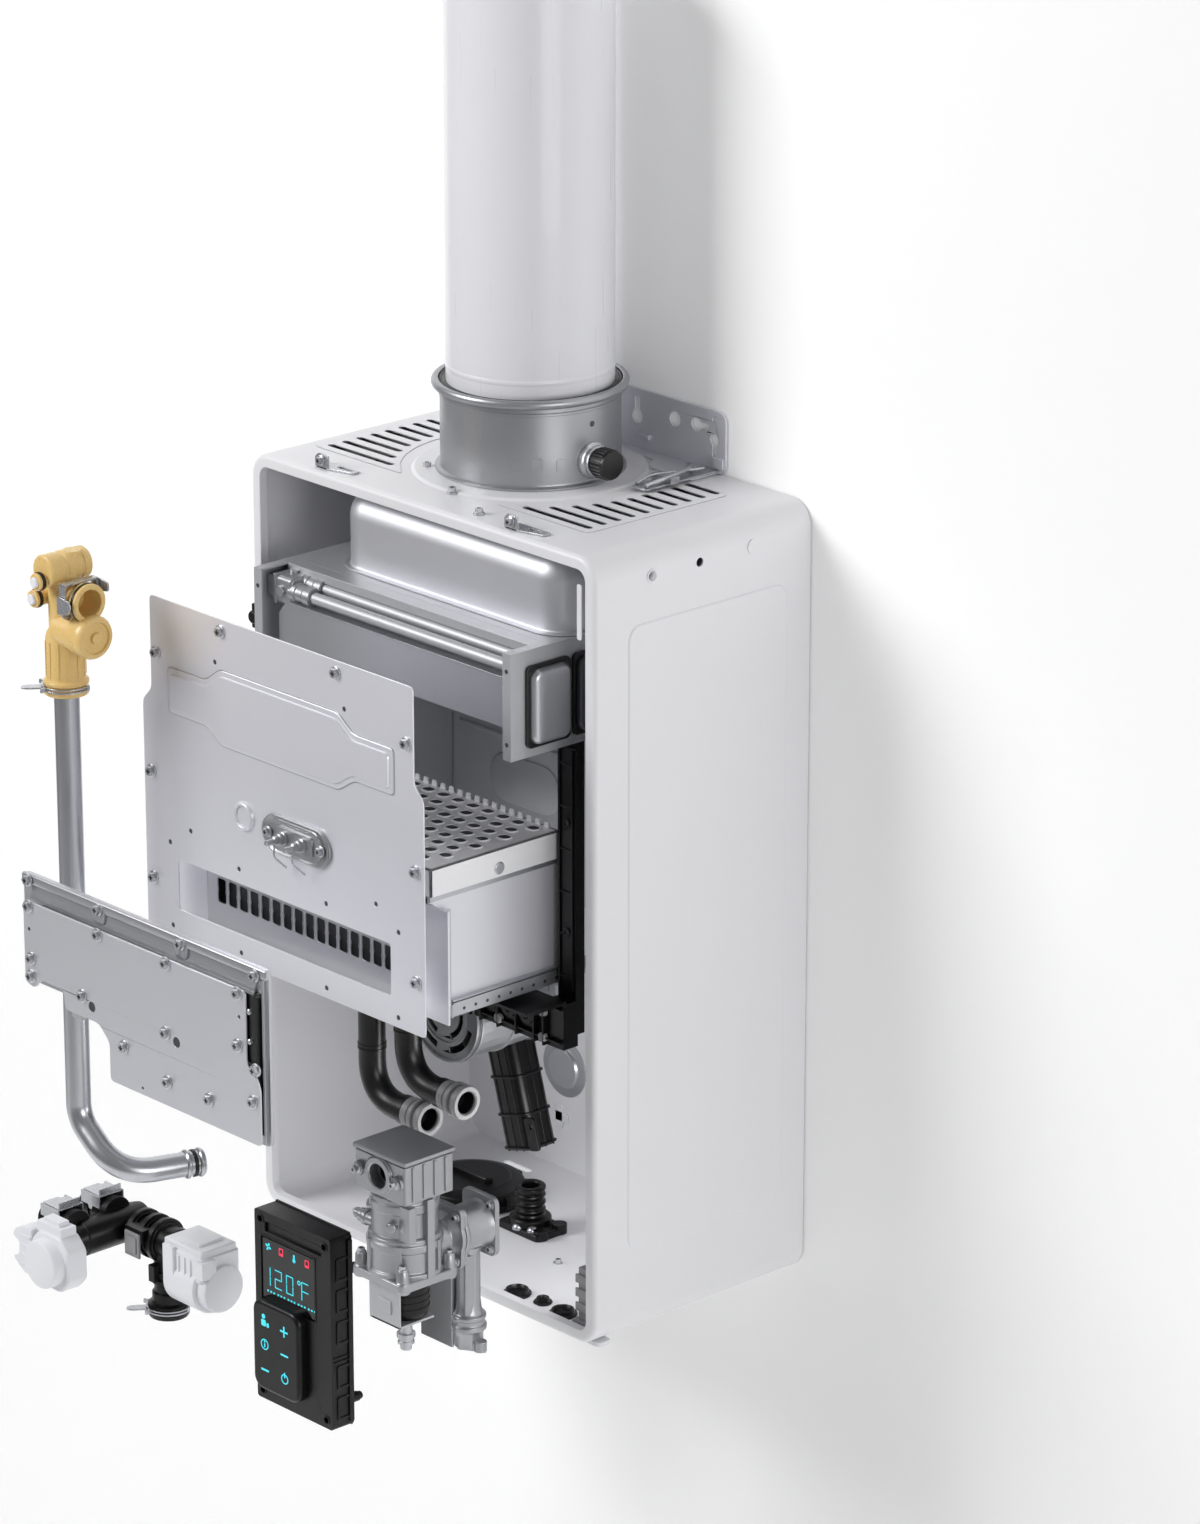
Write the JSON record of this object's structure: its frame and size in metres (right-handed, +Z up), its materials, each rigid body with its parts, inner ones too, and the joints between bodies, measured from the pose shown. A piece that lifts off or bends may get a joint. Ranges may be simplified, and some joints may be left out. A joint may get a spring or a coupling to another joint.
{
  "type": "tankless water heater",
  "caption": "Wall-hung tankless water heater, cover off, with burner, front plate, gas cover, gas valve, water valves, outlet pipe and control panel drawn out on slides.",
  "frame": {"origin": "the centre of the wall bracket's back face, where the heater hangs on the wall", "axes": "+Y into the wall, +Z up along the vent pipe, +X to the right seen from the front"},
  "size_m": [0.4897, 0.5626, 1.207],
  "materials": {
    "white_enamel": "smooth white enamel",
    "zinc_steel": "plain zinc-plated sheet",
    "white_pvc": "smooth white pipe",
    "black_rubber": "matt black rubber",
    "satin_steel": "satin stainless sheet",
    "bright_steel": "bright stainless steel",
    "plate_steel": "satin pressed plate",
    "cast_aluminium": "as cast",
    "dark_steel": "dark heat-stained sheet",
    "black_plastic": "fine-textured black",
    "cream_plastic": "cream moulded plastic",
    "white_plastic": "white moulded plastic",
    "grey_plastic": "grey moulded plastic",
    "smoked_glass": "smoked gloss window"
  },
  "bodies": {
    "heater": {"cabinet_shell": "white_enamel", "wall_bracket": "zinc_steel", "bracket_strap": "bright_steel", "cover_clip_left": "bright_steel", "cover_clip_right": "bright_steel", "flue_collar": "zinc_steel", "collar_seal": "black_rubber", "test_port": "bright_steel", "exhaust_hood": "satin_steel", "exchanger_frame": "zinc_steel", "exchanger_header": "cast_aluminium", "exchanger_tube_rear": "bright_steel", "exchanger_tube_front": "bright_steel", "baffle_plate": "zinc_steel", "header_cover_front": "satin_steel", "header_cover_rear": "satin_steel", "chamber_lining": "dark_steel", "side_rail": "black_plastic", "fan_housing": "cast_aluminium", "fan_cover": "cast_aluminium", "intake_duct": "black_plastic", "drain_hose_left": "black_rubber", "drain_hose_right": "black_rubber", "hose_coupling_left": "grey_plastic", "hose_coupling_right": "grey_plastic", "trap_lid": "black_plastic", "drain_fitting": "black_plastic", "floor_grommet_1": "black_rubber", "floor_grommet_2": "black_rubber", "floor_grommet_3": "black_rubber"},
    "vent": {"vent_pipe": "white_pvc"},
    "port_cap": {"test_port_cap": "black_rubber"},
    "fan": {"fan_wheel": "grey_plastic"},
    "burner": {"burner_box": "satin_steel", "burner_deck": "satin_steel", "burner_ports": "satin_steel", "burner_tray": "satin_steel"},
    "plate": {"front_plate": "plate_steel", "igniter_plate": "cast_aluminium", "spark_electrode": "white_plastic", "flame_electrode": "white_plastic"},
    "gas_cover": {"gas_back_plate": "cast_aluminium", "gas_gasket": "black_rubber", "gas_front_plate": "plate_steel"},
    "outlet": {"outlet_tee": "cream_plastic", "outlet_pipe": "bright_steel", "pipe_clip": "bright_steel", "port_clip": "bright_steel"},
    "water": {"water_valve": "black_plastic", "drain_clip": "bright_steel", "valve_motor_left": "white_plastic", "valve_motor_right": "white_plastic"},
    "panel": {"panel_case": "black_plastic", "panel_glass": "smoked_glass", "panel_keypad": "black_plastic"},
    "gas_valve": {"valve_body": "cast_aluminium", "valve_head": "cast_aluminium", "valve_solenoid": "dark_steel", "gas_tube": "cast_aluminium"}
  },
  "joints": [
    {"name": "vent_lift", "type": "slide", "parent": "heater", "child": "vent", "axis": [0, 0, 1], "range_m": [0, 0.06]},
    {"name": "port_cap_pull", "type": "slide", "parent": "heater", "child": "port_cap", "axis": [1, 0, 0], "range_m": [0, 0.02]},
    {"name": "fan_spin", "type": "hinge", "parent": "heater", "child": "fan", "pos_m": [0.034, -0.19, -0.4825], "axis": [0, 1, 0], "continuous": true},
    {"name": "burner_home", "type": "slide", "parent": "heater", "child": "burner", "axis": [0, 1, 0], "range_m": [0, 0.0805]},
    {"name": "plate_home", "type": "slide", "parent": "burner", "child": "plate", "axis": [0, 1, 0], "range_m": [0, 0.0289]},
    {"name": "gas_cover_home", "type": "slide", "parent": "plate", "child": "gas_cover", "axis": [0, 1, 0], "range_m": [0, 0.1453]},
    {"name": "outlet_home", "type": "slide", "parent": "heater", "child": "outlet", "axis": [0, 1, 0], "range_m": [0, 0.04]},
    {"name": "water_home", "type": "slide", "parent": "heater", "child": "water", "axis": [0.5453, 0.7205, 0.4284], "range_m": [0, 0.2568]},
    {"name": "panel_home", "type": "slide", "parent": "heater", "child": "panel", "axis": [-0.2712, 0.7362, 0.62], "range_m": [0, 0.129]},
    {"name": "gas_valve_home", "type": "slide", "parent": "heater", "child": "gas_valve", "axis": [0, 1, 0], "range_m": [0, 0.19]}
  ]
}
